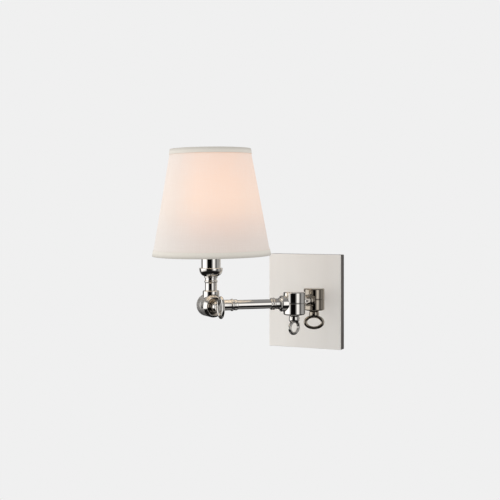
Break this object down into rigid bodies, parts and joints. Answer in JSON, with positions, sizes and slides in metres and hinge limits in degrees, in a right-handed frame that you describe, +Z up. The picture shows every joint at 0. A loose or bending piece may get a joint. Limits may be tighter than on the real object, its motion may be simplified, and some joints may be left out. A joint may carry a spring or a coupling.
{
  "type": "swing-arm wall lamp",
  "caption": "Swing-arm wall lamp: rectangular wall plate, short link and arm on two vertical knuckles, tilting candle holder and tapered fabric shade, ring-headed clamp screws.",
  "frame": {"origin": "centre of the mounting strap's back face, on the wall, which is also the centre of the wall plate's back", "axes": "+Z up, +Y into the wall, so the lamp stands out from the wall towards -Y; +X along the wall to the right as seen from the room"},
  "size_m": [0.198, 0.2691, 0.2835],
  "materials": {
    "polished_nickel": "polished nickel plate, bright, faintly warm",
    "plate_nickel": "nickel-plated pressed steel, soft polish, pale and warm",
    "zinc_steel": "bright zinc-plated steel",
    "brass": "turned brass, unlacquered",
    "linen": "off-white plain-weave linen on a stiff liner",
    "trim_tape": "matching folded fabric tape",
    "shade_wire": "white-coated steel wire",
    "bulb_glass": "clear, warm white when lit",
    "socket_phenolic": "moulded phenolic, satin",
    "lead_sleeve": "sheathed two-core lead, matt"
  },
  "bodies": {
    "base": {"wall_plate": "plate_nickel", "mounting_strap": "zinc_steel", "mounting_nipple": "zinc_steel", "lock_nut": "brass", "wall_collar": "polished_nickel", "knuckle_a_fixed_half": "polished_nickel", "knuckle_a_washer": "brass", "wall_lead": "lead_sleeve"},
    "link": {"knuckle_a_link_half": "polished_nickel", "link_collar_a": "polished_nickel", "link_tube": "polished_nickel", "link_collar_b": "polished_nickel", "knuckle_b_link_half": "polished_nickel", "knuckle_b_washer": "brass", "link_lead": "lead_sleeve"},
    "arm": {"knuckle_b_arm_half": "polished_nickel", "arm_bell": "polished_nickel", "arm_inner_ferrule": "polished_nickel", "arm_tube": "polished_nickel", "arm_outer_ferrule": "polished_nickel", "knuckle_c_arm_half": "polished_nickel", "knuckle_c_washer": "brass", "arm_lead": "lead_sleeve"},
    "head": {"knuckle_c_head_half": "polished_nickel", "set_screw": "zinc_steel", "stem_collar": "polished_nickel", "stem": "polished_nickel", "candle_cup": "polished_nickel", "cup_nut": "brass", "stem_nipple": "zinc_steel", "stem_lead": "lead_sleeve", "candle_sleeve": "polished_nickel", "socket_body": "socket_phenolic", "socket_shell": "brass", "socket_contact": "brass", "bulb_base": "brass", "lamp_bulb": "bulb_glass", "shade_skin": "linen", "shade_bottom_trim": "trim_tape", "shade_top_trim": "trim_tape", "shade_bottom_ring": "shade_wire", "shade_top_ring": "shade_wire", "shade_carrier": "shade_wire"},
    "clamp_screw_a": {"ring_screw_a": "polished_nickel"},
    "clamp_screw_b": {"ring_screw_b": "polished_nickel"},
    "clamp_screw_c": {"ring_screw_c": "polished_nickel"}
  },
  "joints": [
    {"name": "wall_swivel", "type": "hinge", "parent": "base", "child": "link", "pos_m": [0.025, -0.037, 0.0055], "axis": [0, 0, 1], "range_deg": [-60, 90]},
    {"name": "elbow_swivel", "type": "hinge", "parent": "link", "child": "arm", "pos_m": [0.025, -0.109, 0.0055], "axis": [0, 0, 1], "range_deg": [-45, 135]},
    {"name": "shade_tilt", "type": "hinge", "parent": "arm", "child": "head", "pos_m": [-0.06115, -0.18934, 0.0055], "axis": [0.7771, -0.6293, 0], "range_deg": [0, 95]},
    {"name": "clamp_turn_a", "type": "hinge", "parent": "base", "child": "clamp_screw_a", "pos_m": [0.025, -0.037, 0.0055], "axis": [0, 0, -1], "range_deg": [0, 360]},
    {"name": "clamp_turn_b", "type": "hinge", "parent": "link", "child": "clamp_screw_b", "pos_m": [0.025, -0.109, 0.0055], "axis": [0, 0, -1], "range_deg": [0, 360]},
    {"name": "clamp_turn_c", "type": "hinge", "parent": "arm", "child": "clamp_screw_c", "pos_m": [-0.06115, -0.18934, 0.0055], "axis": [0.7771, -0.6293, 0], "range_deg": [0, 360]}
  ]
}
